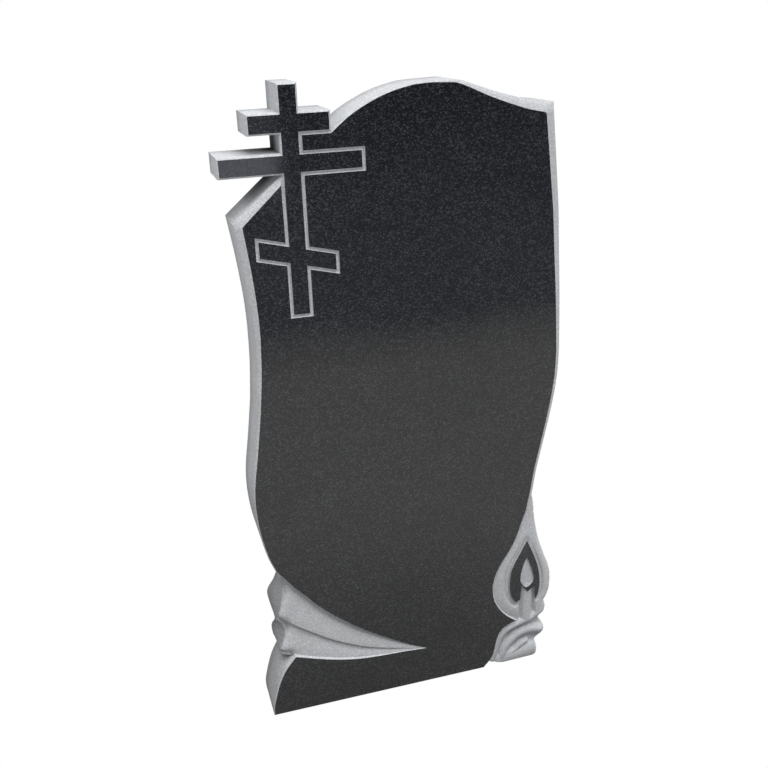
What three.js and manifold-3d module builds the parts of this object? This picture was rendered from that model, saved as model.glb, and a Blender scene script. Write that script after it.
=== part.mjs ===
// A carved grave headstone of dark gabbro, one solid slab in millimetres with +Z up.
// The polished face looks along -Y. The origin is the middle of the box of the stone, at the ground.
// An Orthodox cross stands partly free at the upper left and runs on as a groove in the face.
// At the lower left the stone is carved as a two-fold drape above a foot, and at the lower right
// as a candle flame in a drop-shaped halo that stands on a twisted ribbon.

import * as THREE from "three";
import { mergeVertices } from "three/addons/utils/BufferGeometryUtils.js";
import Module from "manifold-3d";

// The blank that the stone is cut from.
const HEIGHT = 1000;
const WIDTH = 507;
const THICKNESS = 80;

// The dressed edge round the polished face: a fine arris that widens to a bevel at the free corners.
const ARRIS = 3;
const SIDE_BEVEL = 7;
const HIP_BEVEL = 6;
const CREST_BEVEL = 6;
const CORNER_BEVEL = 16;
const WAIST_BEVEL = 7;
const SHOULDER_BEVEL = 11.5;
const SLOPE_BEVEL = 8;
const CARVING_ARRIS = 1.5;
const DRAPE_ARRIS = 2.5;
const BEVEL_SLOPE = 0.45;
const SHARPEST_MITRE = 0.45;

// The cross.
const BAR_WIDTH = 28;
const CROSS_HEIGHT = 316;
const UPPER_ARM = 114;
const MIDDLE_ARM = 200.5;
const LOWER_ARM = 112;
const UPPER_ARM_DROP = 51;
const MIDDLE_ARM_DROP = 104;
const LOWER_ARM_DROP = 230;
const LOWER_ARM_SLANT = THREE.MathUtils.degToRad(14);
const CROSS_ARRIS = 2.5;
const GROOVE_WIDTH = 4.8;
const GROOVE_DEPTH = 2.5;
const GROOVE_FLOOR = 1.6;

// The drape at the lower left.
const FOLD_DEPTH = 9.5;
const FOLD_CREST = 3;
const FOLD_ROLL = 1.6;
const FOLD_FADE_LENGTH = 126;
const FOLD_LEAST_SHARE = 0.12;
const CREASE_GAP = 1.2;
const DRAPE_ROUNDING = 14;
const SIDE_TURN = 0.7;

// The candle and its ribbon at the lower right.
const CANDLE_DEPTH = 12;
const HALO_CREST = 1.5;
const HALO_FOOT = 4.5;
const HALO_TOP_FALL = 1;
const HALO_RIDGE_POWER = 0.7;
const HALO_LINE_DEPTH = 2.2;
const HALO_LINE_FADE = 35;
const HALO_LINE_PLACE = 0.74;
const HALO_LINE_SPREAD = 0.06;
const STICK_CREST = 1;
const STICK_FALL = 6.5;
const STICK_FLANK = 0.45;
const RIBBON_CREST = 1;
const UPPER_BAND = 20;
const LOWER_BAND = 20;
const INNER_BAND = 14;
const BASE_BAND = 36;
const FLAME_DEPTH = 2;
const CANDLE_EDGE_ROUNDING = 5;
const CANDLE_EDGE_TURN = 0.6;

// How finely the curves and the carving are stepped.
const CURVE_STEP = 9;
const DRAPE_STEP = 8;
const FOLD_ROWS = 6;
const SIDE_STEPS = 18;
const CANDLE_STEP = 3.6;
const SAME_POINT = 0.5;
const MERGE_WITHIN = 1e-4;

const FRONT = -THICKNESS / 2;
const BACK = THICKNESS / 2;
const HALF_WIDTH = WIDTH / 2;
const CUTTER_CLEARANCE = 1;
const INSIDE = 8;

const wasm = await Module();
wasm.setup();

// A point of the free outline, given as shares of the half width and of the height.
function at(u, v) {
  return new THREE.Vector2(u * HALF_WIDTH, v * HEIGHT);
}

// A smooth run through the stations, with the dressed edge going from one width to another.
// No point but its ends lies nearer to an end than the edge is wide there, where it would fold over.
function run(stations, startEdge, endEdge) {
  const curve = new THREE.SplineCurve(stations);
  const length = curve.getLength();
  const count = Math.max(2, Math.round(length / CURVE_STEP));
  const isClear = (p, i) => {
    const fromStart = (length * i) / count;
    return i === 0 || i === count || (fromStart > startEdge && length - fromStart > endEdge);
  };
  return curve
    .getSpacedPoints(count)
    .map((p, i) => ({ x: p.x, z: p.y, edge: THREE.MathUtils.lerp(startEdge, endEdge, i / count) }))
    .filter(isClear);
}

// Straight stretches through corners, all with one edge width.
function corners(points, edge) {
  return points.map((p) => ({ x: p.x, z: p.y, edge }));
}

// Joins runs into one outline and leaves out points that repeat the one before.
function joinRuns(...runs) {
  const outline = [];
  for (const point of runs.flat()) {
    const last = outline[outline.length - 1];
    if (!last || Math.hypot(point.x - last.x, point.z - last.z) > SAME_POINT) {
      outline.push(point);
    }
  }
  const first = outline[0];
  const last = outline[outline.length - 1];
  if (Math.hypot(first.x - last.x, first.z - last.z) < SAME_POINT) {
    outline.pop();
  }
  const area = THREE.ShapeUtils.area(outline.map((p) => new THREE.Vector2(p.x, p.z)));
  return area < 0 ? outline.reverse() : outline;
}

// The outline moved inwards by each point's own edge width.
function insetLoop(outline) {
  const count = outline.length;
  return outline.map((point, i) => {
    const before = outline[(i + count - 1) % count];
    const after = outline[(i + 1) % count];
    const a = new THREE.Vector2(point.x - before.x, point.z - before.z).normalize();
    const b = new THREE.Vector2(after.x - point.x, after.z - point.z).normalize();
    const inward = new THREE.Vector2(-a.y - b.y, a.x + b.x).normalize();
    const spread = Math.max(SHARPEST_MITRE, inward.dot(new THREE.Vector2(-a.y, a.x)));
    return {
      x: point.x + (inward.x * point.edge) / spread,
      z: point.z + (inward.y * point.edge) / spread,
    };
  });
}

// A closed solid from a list of corner positions and triangles.
function solidOf(positions, triangles) {
  let geometry = new THREE.BufferGeometry();
  geometry.setAttribute("position", new THREE.Float32BufferAttribute(positions, 3));
  geometry.setIndex(triangles);
  geometry = mergeVertices(geometry, MERGE_WITHIN);
  return new wasm.Manifold(
    new wasm.Mesh({
      numProp: 3,
      vertProperties: new Float32Array(geometry.attributes.position.array),
      triVerts: new Uint32Array(geometry.index.array),
    }),
  );
}

// A solid between loops of equal length, listed from the front to the back.
function loftLoops(loops) {
  const count = loops[0].length;
  const positions = loops.flat().flatMap((p) => [p.x, p.y, p.z]);
  const triangles = [];
  const cap = (loop) =>
    THREE.ShapeUtils.triangulateShape(loop.map((p) => new THREE.Vector2(p.x, p.z)), []);
  for (const [a, b, c] of cap(loops[0])) {
    triangles.push(a, b, c);
  }
  const lastStart = (loops.length - 1) * count;
  for (const [a, b, c] of cap(loops[loops.length - 1])) {
    triangles.push(lastStart + a, lastStart + c, lastStart + b);
  }
  for (let row = 0; row + 1 < loops.length; row += 1) {
    for (let i = 0; i < count; i += 1) {
      const j = (i + 1) % count;
      const near = row * count;
      const far = near + count;
      triangles.push(near + i, far + i, far + j, near + i, far + j, near + j);
    }
  }
  return solidOf(positions, triangles);
}

// A slab of the full thickness with its front edge dressed.
function dressedSlab(outline) {
  const inner = insetLoop(outline).map((p) => new THREE.Vector3(p.x, FRONT, p.z));
  const depthOf = (edge) => Math.min(edge, ARRIS) + Math.max(0, edge - ARRIS) * BEVEL_SLOPE;
  const outer = outline.map((p) => new THREE.Vector3(p.x, FRONT + depthOf(p.edge), p.z));
  const behind = outline.map((p) => new THREE.Vector3(p.x, BACK, p.z));
  return loftLoops([inner, outer, behind]);
}

// A plain prism of an outline between two depths.
function prism(outline, near, far) {
  const loopAt = (y) => outline.map((p) => new THREE.Vector3(p.x, y, p.z));
  return loftLoops([loopAt(near), loopAt(far)]);
}

// A block whose front is carved. Each column of x has its own rows, from the lowest to the highest,
// each with its height z and its depth below the polished face.
function carvedBlock(left, right, step, rowsAt) {
  const columns = Math.round((right - left) / step);
  const lines = Array.from({ length: columns + 1 }, (_, column) => {
    const x = THREE.MathUtils.lerp(left, right, column / columns);
    return rowsAt(x).map((row) => [x, FRONT + row.depth, row.z]);
  });
  const rows = lines[0].length - 1;
  const positions = [];
  for (let row = 0; row <= rows; row += 1) {
    for (const line of lines) {
      positions.push(...line[row]);
    }
  }
  const index = (column, row) => row * (columns + 1) + column;
  const triangles = [];
  for (let row = 0; row < rows; row += 1) {
    for (let column = 0; column < columns; column += 1) {
      const a = index(column, row);
      const b = index(column + 1, row);
      const c = index(column + 1, row + 1);
      const d = index(column, row + 1);
      triangles.push(a, b, c, a, c, d);
    }
  }
  const rim = [];
  for (let column = 0; column < columns; column += 1) rim.push(index(column, 0));
  for (let row = 0; row < rows; row += 1) rim.push(index(columns, row));
  for (let column = columns; column > 0; column -= 1) rim.push(index(column, rows));
  for (let row = rows; row > 0; row -= 1) rim.push(index(0, row));
  const behind = positions.length / 3;
  for (const corner of rim) {
    positions.push(positions[corner * 3], BACK, positions[corner * 3 + 2]);
  }
  const middle = behind + rim.length;
  const centre = index(Math.round(columns / 2), Math.round(rows / 2));
  positions.push(positions[centre * 3], BACK, positions[centre * 3 + 2]);
  rim.forEach((corner, i) => {
    const j = (i + 1) % rim.length;
    triangles.push(corner, behind + i, behind + j, corner, behind + j, rim[j]);
    triangles.push(middle, behind + j, behind + i);
  });
  return solidOf(positions, triangles);
}

// The shortest distance from a point to a chain of points.
function distanceTo(chain, x, z) {
  let best = Infinity;
  for (let i = 0; i + 1 < chain.length; i += 1) {
    const a = chain[i];
    const b = chain[i + 1];
    const dx = b.x - a.x;
    const dz = b.z - a.z;
    const t = THREE.MathUtils.clamp(((x - a.x) * dx + (z - a.z) * dz) / (dx * dx + dz * dz), 0, 1);
    best = Math.min(best, Math.hypot(x - a.x - t * dx, z - a.z - t * dz));
  }
  return best;
}

// The height of a left-to-right chain of points at a given x.
function heightOf(chain, x) {
  for (let i = 0; i + 1 < chain.length; i += 1) {
    const a = chain[i];
    const b = chain[i + 1];
    if ((x >= a.x && x <= b.x) || (i === 0 && x < a.x) || i + 2 === chain.length) {
      return a.z + ((b.z - a.z) * (x - a.x)) / (b.x - a.x);
    }
  }
  return chain[0].z;
}

// The places of the cross, worked out from its sizes.
const cross = {
  middle: -HALF_WIDTH + MIDDLE_ARM / 2,
  top: HEIGHT,
  bottom: HEIGHT - CROSS_HEIGHT,
};
cross.left = cross.middle - BAR_WIDTH / 2;
cross.right = cross.middle + BAR_WIDTH / 2;

function armEdges(drop) {
  const level = cross.top - drop;
  return { low: level - BAR_WIDTH / 2, high: level + BAR_WIDTH / 2 };
}

const upper = armEdges(UPPER_ARM_DROP);
const middle = armEdges(MIDDLE_ARM_DROP);

// A point on an edge of the slanted lower arm.
function slantedPoint(offset, side) {
  const level = cross.top - LOWER_ARM_DROP;
  const z = level - offset * Math.tan(LOWER_ARM_SLANT) + (side * BAR_WIDTH) / 2;
  return new THREE.Vector2(cross.middle + offset, z);
}

// The polished part of the stone, with the drape and the candle left out of it.
const waveStart = new THREE.Vector2(cross.middle + UPPER_ARM / 2, upper.low);
const slopeTop = new THREE.Vector2(cross.left, middle.low);

const wave = run(
  [waveStart, at(-0.2765, 0.9552), at(-0.162, 0.971), at(-0.052, 0.982), at(0.064, 0.9891),
    at(0.13, 0.9908), at(0.19, 0.9914)],
  CARVING_ARRIS,
  CARVING_ARRIS,
);
const waveCrest = run(
  [at(0.19, 0.9914), at(0.25, 0.9919), at(0.33, 0.992), at(0.411, 0.9865)],
  CARVING_ARRIS,
  CREST_BEVEL,
);
const waveEnd = run(
  [at(0.411, 0.9865), at(0.531, 0.9755), at(0.651, 0.9665), at(0.775, 0.9588), at(0.921, 0.954)],
  CREST_BEVEL,
  CORNER_BEVEL,
);
const rightSide = run(
  [at(0.921, 0.954), at(0.939, 0.9), at(0.957, 0.844), at(0.971, 0.797), at(0.981, 0.735),
    at(0.993, 0.665), at(1.0, 0.582)],
  CORNER_BEVEL,
  SIDE_BEVEL,
);
const rightHip = run(
  [at(1.0, 0.582), at(0.996, 0.545), at(0.979, 0.508), at(0.951, 0.47), at(0.908, 0.42),
    at(0.868, 0.375), at(0.842, 0.335), at(0.828, 0.319)],
  SIDE_BEVEL,
  HIP_BEVEL,
);
const haloTip = run(
  [at(0.828, 0.319), at(0.804, 0.2996), at(0.766, 0.2793)],
  HIP_BEVEL,
  CARVING_ARRIS,
);
const haloLeft = run(
  [at(0.766, 0.2793), at(0.728, 0.2514), at(0.686, 0.2303), at(0.633, 0.2096), at(0.59, 0.1892),
    at(0.569, 0.1695), at(0.567, 0.1536), at(0.581, 0.1345), at(0.622, 0.1147), at(0.675, 0.0992),
    at(0.743, 0.0857)],
  CARVING_ARRIS,
  CARVING_ARRIS,
);
const ribbonLeft = run(
  [at(0.743, 0.0857), at(0.691, 0.0805), at(0.643, 0.0741), at(0.61, 0.0625), at(0.592, 0.0467),
    at(0.577, 0.0296), at(0.555, 0.016), at(0.5, 0)],
  CARVING_ARRIS,
  CARVING_ARRIS,
);
const footEdge = run(
  [at(-0.976, 0), at(-0.977, 0.015), at(-0.964, 0.031), at(-0.947, 0.047), at(-0.927, 0.063),
    at(-0.899, 0.079), at(-0.864, 0.093), at(-0.807, 0.1105)],
  CARVING_ARRIS,
  ARRIS,
);
const drapeLow = run(
  [at(-0.807, 0.1105), at(-0.651, 0.096), at(-0.507, 0.085), at(-0.367, 0.078), at(-0.208, 0.0745),
    at(-0.058, 0.0725), at(0.078, 0.0695)],
  DRAPE_ARRIS,
  CARVING_ARRIS / 2,
);
const drapeHigh = run(
  [at(0.078, 0.0695), at(-0.028, 0.082), at(-0.208, 0.109), at(-0.353, 0.1335), at(-0.467, 0.156),
    at(-0.563, 0.177), at(-0.647, 0.1985), at(-0.712, 0.218), at(-0.777, 0.237),
    at(-0.828, 0.2545), at(-0.881, 0.273)],
  CARVING_ARRIS / 2,
  CARVING_ARRIS,
);
const leftSide = run(
  [at(-0.881, 0.273), at(-0.925, 0.304), at(-0.961, 0.349), at(-0.974, 0.392), at(-0.966, 0.43),
    at(-0.935, 0.48), at(-0.901, 0.54)],
  CARVING_ARRIS,
  ARRIS,
);
const leftWaist = run(
  [at(-0.901, 0.54), at(-0.883, 0.6), at(-0.878, 0.656)],
  ARRIS,
  WAIST_BEVEL,
);
const leftShoulder = run(
  [at(-0.878, 0.656), at(-0.885, 0.7), at(-0.909, 0.76), at(-0.943, 0.821)],
  WAIST_BEVEL,
  SHOULDER_BEVEL,
);
const shoulderSlope = run([at(-0.943, 0.821), slopeTop], SHOULDER_BEVEL, SLOPE_BEVEL);
const behindCross = corners(
  [
    new THREE.Vector2(cross.left + INSIDE, middle.low + INSIDE),
    new THREE.Vector2(cross.left + INSIDE, upper.low + INSIDE),
    new THREE.Vector2(waveStart.x - INSIDE, upper.low + INSIDE),
  ],
  CARVING_ARRIS,
);

function makeField() {
  return dressedSlab(
    joinRuns(
      wave, waveCrest, waveEnd, rightSide, rightHip, haloTip, haloLeft, ribbonLeft, footEdge,
      drapeLow, drapeHigh, leftSide, leftWaist, leftShoulder, shoulderSlope, behindCross,
    ),
  );
}

// The free part of the cross, rooted in the slab.
function makeCross() {
  const root = middle.low - BAR_WIDTH;
  const half = { upper: UPPER_ARM / 2, middle: MIDDLE_ARM / 2 };
  const points = [
    [cross.left, root], [cross.right, root],
    [cross.right, middle.low], [cross.middle + half.middle, middle.low],
    [cross.middle + half.middle, middle.high], [cross.right, middle.high],
    [cross.right, upper.low], [cross.middle + half.upper, upper.low],
    [cross.middle + half.upper, upper.high], [cross.right, upper.high],
    [cross.right, cross.top], [cross.left, cross.top],
    [cross.left, upper.high], [cross.middle - half.upper, upper.high],
    [cross.middle - half.upper, upper.low], [cross.left, upper.low],
    [cross.left, middle.high], [cross.middle - half.middle, middle.high],
    [cross.middle - half.middle, middle.low], [cross.left, middle.low],
  ];
  return dressedSlab(joinRuns(corners(points.map(([x, z]) => new THREE.Vector2(x, z)), CROSS_ARRIS)));
}

// The groove that draws the rest of the cross in the polished face, as one path with mitred turns.
function groovePath() {
  const bar = BAR_WIDTH / 2;
  const end = LOWER_ARM / 2;
  const point = (x, z) => new THREE.Vector2(x, z);
  return [
    waveStart,
    point(cross.right, upper.low),
    point(cross.right, middle.high),
    point(cross.middle + MIDDLE_ARM / 2, middle.high),
    point(cross.middle + MIDDLE_ARM / 2, middle.low),
    point(cross.right, middle.low),
    slantedPoint(bar, 1),
    slantedPoint(end, 1),
    slantedPoint(end, -1),
    slantedPoint(bar, -1),
    point(cross.right, cross.bottom),
    point(cross.left, cross.bottom),
    slantedPoint(-bar, -1),
    slantedPoint(-end, -1),
    slantedPoint(-end, 1),
    slantedPoint(-bar, 1),
    slopeTop,
  ];
}

function makeGrooveCutter() {
  const path = groovePath();
  const half = GROOVE_WIDTH / 2;
  const floor = GROOVE_FLOOR / 2;
  const section = [
    [-half, -CUTTER_CLEARANCE], [-half, 0], [-floor, GROOVE_DEPTH],
    [floor, GROOVE_DEPTH], [half, 0], [half, -CUTTER_CLEARANCE],
  ];
  const positions = [];
  path.forEach((point, i) => {
    const back = path[Math.max(i - 1, 0)];
    const next = path[Math.min(i + 1, path.length - 1)];
    const a = point.clone().sub(back).normalize();
    const b = next.clone().sub(point).normalize();
    const into = i === 0 ? b : a;
    const out = i === path.length - 1 ? a : b;
    const across = new THREE.Vector2(-into.y - out.y, into.x + out.x).normalize();
    const stretch = 1 / across.dot(new THREE.Vector2(-into.y, into.x));
    for (const [offset, depth] of section) {
      positions.push(
        point.x + across.x * offset * stretch,
        FRONT + depth,
        point.y + across.y * offset * stretch,
      );
    }
  });
  const size = section.length;
  const triangles = [];
  for (let i = 0; i + 1 < path.length; i += 1) {
    for (let k = 0; k < size; k += 1) {
      const m = (k + 1) % size;
      const a = i * size + k;
      const b = i * size + m;
      triangles.push(a, b, b + size, a, b + size, a + size);
    }
  }
  const last = (path.length - 1) * size;
  for (let k = 1; k + 1 < size; k += 1) {
    triangles.push(0, k + 1, k);
    triangles.push(last, last + k, last + k + 1);
  }
  return solidOf(positions, triangles);
}

// The drape: two folds that run down and back round the left side and taper to a point on the face.
const crease = run(
  [at(-0.906, 0.19), at(-0.797, 0.168), at(-0.683, 0.147), at(-0.537, 0.122), at(-0.351, 0.0985),
    at(-0.148, 0.0825), at(0.078, 0.0695)],
  0,
  0,
);
const drapeTop = drapeHigh.slice().reverse();
const drapeTip = drapeTop[drapeTop.length - 1];

// The rounded edges of the folds on the left side, at the front and, lower down, at the back.
function foldedEdge(stations) {
  return new THREE.SplineCurve(stations).getPoints(SIDE_STEPS).map((p) => ({ x: p.x, z: p.y }));
}

const foldedFront = foldedEdge(
  [at(-0.86, 0.29), at(-0.838, 0.2549), at(-0.831, 0.2359), at(-0.86, 0.2132),
    at(-0.894, 0.1867), at(-0.853, 0.1727), at(-0.841, 0.1584), at(-0.869, 0.1406),
    at(-0.899, 0.1209), at(-0.83, 0.112)],
);
const foldedBack = foldedEdge(
  [at(-0.81, 0.245), at(-0.857, 0.2144), at(-0.908, 0.1928), at(-0.902, 0.1698),
    at(-0.877, 0.1366), at(-0.897, 0.1263), at(-0.903, 0.1175), at(-0.896, 0.1028),
    at(-0.877, 0.0778), at(-0.83, 0.065)],
);

// The place of the front folded edge, its x for each height.
const foldedFrontAcross = foldedFront.map((p) => ({ x: p.z, z: p.x })).reverse();

// How far the front turns back where it rounds into the folded side. It stays turned beyond it.
function turnedAway(x, z) {
  const isBeyond = x < heightOf(foldedFrontAcross, z);
  const near = isBeyond ? 0 : distanceTo(foldedFront, x, z);
  const away = Math.max(0, DRAPE_ROUNDING - near);
  return (DRAPE_ROUNDING - Math.sqrt(DRAPE_ROUNDING ** 2 - away ** 2)) * SIDE_TURN;
}

// One fold's rows, deep where it starts under the edge above it and proud at its lower lip.
function foldRows(x, low, high, fade) {
  return Array.from({ length: FOLD_ROWS + 1 }, (_, i) => {
    const share = i / FOLD_ROWS;
    const z = THREE.MathUtils.lerp(low, high, share);
    const roll = FOLD_CREST + (FOLD_DEPTH - FOLD_CREST) * share ** FOLD_ROLL;
    return { z, depth: roll * fade + turnedAway(x, z) };
  });
}

function drapeRows(x) {
  const low = heightOf(drapeLow, x);
  const high = Math.max(heightOf(drapeTop, x), low + CREASE_GAP * 4);
  const fold = THREE.MathUtils.clamp(heightOf(crease, x), low + CREASE_GAP * 2, high - CREASE_GAP);
  const fade = THREE.MathUtils.clamp((drapeTip.x - x) / FOLD_FADE_LENGTH, FOLD_LEAST_SHARE, 1);
  const lower = foldRows(x, low, fold - CREASE_GAP, fade);
  const upper = foldRows(x, fold, high, fade);
  const under = { z: low - INSIDE * 2, depth: lower[0].depth };
  const over = { z: high + INSIDE * 2, depth: upper[upper.length - 1].depth };
  return [under, ...lower, ...upper, over];
}

function makeDrape() {
  const inner = corners(
    [at(-0.557, 0.062), at(0.092, 0.062), at(0.092, 0.075), at(-0.507, 0.26), at(-0.787, 0.3)],
    0,
  );
  const loopAt = (side, y) => [...side, ...inner].map((p) => new THREE.Vector3(p.x, y, p.z));
  const wrap = loftLoops([loopAt(foldedFront, FRONT), loopAt(foldedBack, BACK)]);
  return carvedBlock(-HALF_WIDTH, drapeTip.x, DRAPE_STEP, drapeRows).intersect(wrap);
}

// The candle: outline of the carved corner, with its halo, flame and stick, and the ribbon under it.
const candleRight = run(
  [at(0.8, 0.352), at(0.842, 0.322), at(0.865, 0.2762), at(0.896, 0.2395), at(0.937, 0.208),
    at(0.97, 0.1864), at(0.989, 0.1653), at(0.989, 0.1409), at(0.972, 0.1235), at(0.948, 0.1135)],
  0,
  0,
);
const ribbonRight = corners(
  [at(0.956, 0.1012), at(0.95, 0.0866), at(0.925, 0.0719), at(0.955, 0.0603), at(0.968, 0.0495),
    at(0.959, 0.0393), at(0.924, 0.0329), at(0.896, 0.0282)],
  0,
);
const candleBase = corners(
  [at(0.901, 0.0135), at(0.896, 0.004), at(0.878, 0), at(0.65, 0), at(0.6, 0.003),
    at(0.55, 0.009)],
  0,
);
const dropLeft = run(
  [at(0.804, 0.2425), at(0.767, 0.2249), at(0.727, 0.2064), at(0.696, 0.1883),
    at(0.686, 0.1689), at(0.688, 0.1486), at(0.706, 0.1333), at(0.733, 0.1225)],
  0,
  0,
);
const dropRight = run(
  [at(0.88, 0.1232), at(0.897, 0.1345), at(0.905, 0.1545), at(0.895, 0.1793), at(0.869, 0.2027),
    at(0.835, 0.2243), at(0.804, 0.2425)],
  0,
  0,
);
const stickTop = corners(
  [at(0.764, 0.127), at(0.771, 0.155), at(0.817, 0.1397), at(0.866, 0.1496), at(0.871, 0.1257)],
  0,
);
const flame = run(
  [at(0.807, 0.21), at(0.779, 0.1927), at(0.762, 0.1706), at(0.773, 0.1589), at(0.805, 0.1504),
    at(0.842, 0.155), at(0.86, 0.1661), at(0.841, 0.1873), at(0.807, 0.21)],
  0,
  0,
);
const upperBand = {
  path: run(
    [at(0.563, 0.0109), at(0.588, 0.0306), at(0.614, 0.0503), at(0.658, 0.0654),
      at(0.717, 0.0723), at(0.785, 0.0776), at(0.86, 0.0836), at(0.934, 0.0958)],
    0,
    0,
  ),
  width: UPPER_BAND,
  crest: RIBBON_CREST,
};
const lowerBand = {
  path: run(
    [at(0.64, 0.0116), at(0.669, 0.029), at(0.714, 0.0422), at(0.773, 0.0523),
      at(0.849, 0.0561), at(0.926, 0.0524)],
    0,
    0,
  ),
  width: LOWER_BAND,
  crest: RIBBON_CREST * 2.5,
};
const innerBand = {
  path: run(
    [at(0.664, 0.0114), at(0.732, 0.0178), at(0.781, 0.0276), at(0.822, 0.0336)],
    0,
    0,
  ),
  width: INNER_BAND,
  crest: RIBBON_CREST * 3.5,
};
const baseBand = {
  path: run(
    [at(0.62, 0.004), at(0.72, 0.008), at(0.88, 0.012)],
    0,
    0,
  ),
  width: BASE_BAND,
  crest: RIBBON_CREST * 3,
};
const ribbonBands = [upperBand, lowerBand, innerBand, baseBand];
const haloTop = candleRight[0].z;
const dropTip = dropLeft[0];
const haloInner = [...haloTip.slice(0, -1), ...haloLeft];

function haloDepth(x, z) {
  const outside = Math.min(distanceTo(haloInner, x, z), distanceTo(candleRight, x, z));
  const inside = Math.min(distanceTo(dropLeft, x, z), distanceTo(dropRight, x, z));
  const share = outside / (outside + inside);
  const ridge = Math.sin(Math.PI * THREE.MathUtils.clamp(share, 0, 1)) ** HALO_RIDGE_POWER;
  const line = HALO_LINE_DEPTH * Math.exp(-(((share - HALO_LINE_PLACE) / HALO_LINE_SPREAD) ** 2));
  const rise = THREE.MathUtils.clamp((z - dropTip.z) / (haloTop - dropTip.z), 0, 1);
  const foot = THREE.MathUtils.lerp(HALO_FOOT, HALO_CREST + HALO_TOP_FALL, rise);
  const belowTip = THREE.MathUtils.clamp((dropTip.z - z) / HALO_LINE_FADE, 0, 1);
  return foot + (HALO_CREST - foot) * ridge + line * belowTip;
}

function bandDepth(band, x, z) {
  const share = distanceTo(band.path, x, z) / (band.width / 2);
  if (share >= 1) {
    return CANDLE_DEPTH;
  }
  return band.crest + (CANDLE_DEPTH - band.crest) * (1 - Math.sqrt(1 - share * share));
}

// The halo with the round stick in front of it, and a hollow along each flank of the stick.
function haloAndStick(x, z) {
  const halo = haloDepth(x, z);
  if (z >= stickTop[1].z) {
    return halo;
  }
  const middleX = (stickTop[1].x + stickTop[3].x) / 2;
  const across = Math.abs(x - middleX) / (stickTop[3].x - middleX);
  if (across < 1) {
    return STICK_CREST + STICK_FALL * across ** 3;
  }
  const flank = THREE.MathUtils.clamp((1 + STICK_FLANK - across) / STICK_FLANK, 0, 1);
  return Math.max(halo, STICK_CREST + STICK_FALL * flank);
}

function candleDepth(x, z) {
  const ribbon = Math.min(...ribbonBands.map((band) => bandDepth(band, x, z)));
  const isAboveRibbon = z > heightOf(upperBand.path, x);
  const halo = isAboveRibbon ? haloAndStick(x, z) : CANDLE_DEPTH;
  const edge = distanceTo([...candleRight, ...ribbonRight], x, z);
  const away = CANDLE_EDGE_ROUNDING - Math.min(CANDLE_EDGE_ROUNDING, edge);
  const turned = CANDLE_EDGE_ROUNDING - Math.sqrt(CANDLE_EDGE_ROUNDING ** 2 - away ** 2);
  return Math.min(halo, ribbon) + turned * CANDLE_EDGE_TURN;
}

function makeCandle() {
  const rows = Math.round(haloTop / CANDLE_STEP);
  const rowsAt = (x) =>
    Array.from({ length: rows + 1 }, (_, i) => {
      const z = (haloTop * i) / rows;
      return { z, depth: candleDepth(x, z) };
    });
  const inner = corners([at(0.521, 0.014), at(0.491, 0.16), at(0.74, 0.345)], 0);
  const outline = joinRuns(candleRight, ribbonRight, candleBase, inner);
  const ground = prism(outline, FRONT - CUTTER_CLEARANCE, BACK + CUTTER_CLEARANCE);
  const block = carvedBlock(at(0.491, 0).x, HALF_WIDTH + INSIDE, CANDLE_STEP, rowsAt);
  const carved = block.intersect(ground);
  const drop = prism(joinRuns(dropLeft, stickTop, dropRight), FRONT, FRONT + THICKNESS / 2);
  const flameCut = prism(joinRuns(flame), FRONT - CUTTER_CLEARANCE, FRONT + FLAME_DEPTH);
  return carved.add(drop.subtract(flameCut));
}

const material = new THREE.MeshStandardMaterial({ color: 0x3a3d40, roughness: 0.35, metalness: 0 });

function meshOf(solid, name) {
  const { vertProperties, triVerts } = solid.getMesh();
  const geometry = new THREE.BufferGeometry();
  geometry.setAttribute("position", new THREE.BufferAttribute(new Float32Array(vertProperties), 3));
  geometry.setIndex(new THREE.BufferAttribute(new Uint32Array(triVerts), 1));
  const mesh = new THREE.Mesh(geometry, material);
  mesh.name = name;
  return mesh;
}

const stone = makeField()
  .add(makeCross())
  .add(makeDrape())
  .add(makeCandle())
  .subtract(makeGrooveCutter());

const part = new THREE.Group();
part.add(meshOf(stone, "stele"));

export default part;
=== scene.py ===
import math

import bmesh
import bpy
import numpy as np
from mathutils import Matrix, Vector


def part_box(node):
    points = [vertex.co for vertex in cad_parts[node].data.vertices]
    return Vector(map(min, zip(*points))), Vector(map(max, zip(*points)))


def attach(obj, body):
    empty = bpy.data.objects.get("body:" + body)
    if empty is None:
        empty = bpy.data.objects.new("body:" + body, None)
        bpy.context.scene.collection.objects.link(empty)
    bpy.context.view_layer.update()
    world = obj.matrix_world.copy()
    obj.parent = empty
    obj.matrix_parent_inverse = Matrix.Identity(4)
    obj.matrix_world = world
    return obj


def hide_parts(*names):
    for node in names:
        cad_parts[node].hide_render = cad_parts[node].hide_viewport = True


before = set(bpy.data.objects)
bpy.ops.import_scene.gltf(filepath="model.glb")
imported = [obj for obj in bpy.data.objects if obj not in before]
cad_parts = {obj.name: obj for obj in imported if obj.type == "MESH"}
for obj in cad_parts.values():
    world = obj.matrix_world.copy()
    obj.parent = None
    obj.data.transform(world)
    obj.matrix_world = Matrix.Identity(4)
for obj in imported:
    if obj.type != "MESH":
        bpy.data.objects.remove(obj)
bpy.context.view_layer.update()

MM = 0.001

# The blank, from the frame.
low_corner, high_corner = (Vector(corner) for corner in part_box("stele"))
HEIGHT = high_corner.z
HALF_WIDTH = -low_corner.x
FRONT = low_corner.y
BACK = high_corner.y

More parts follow.
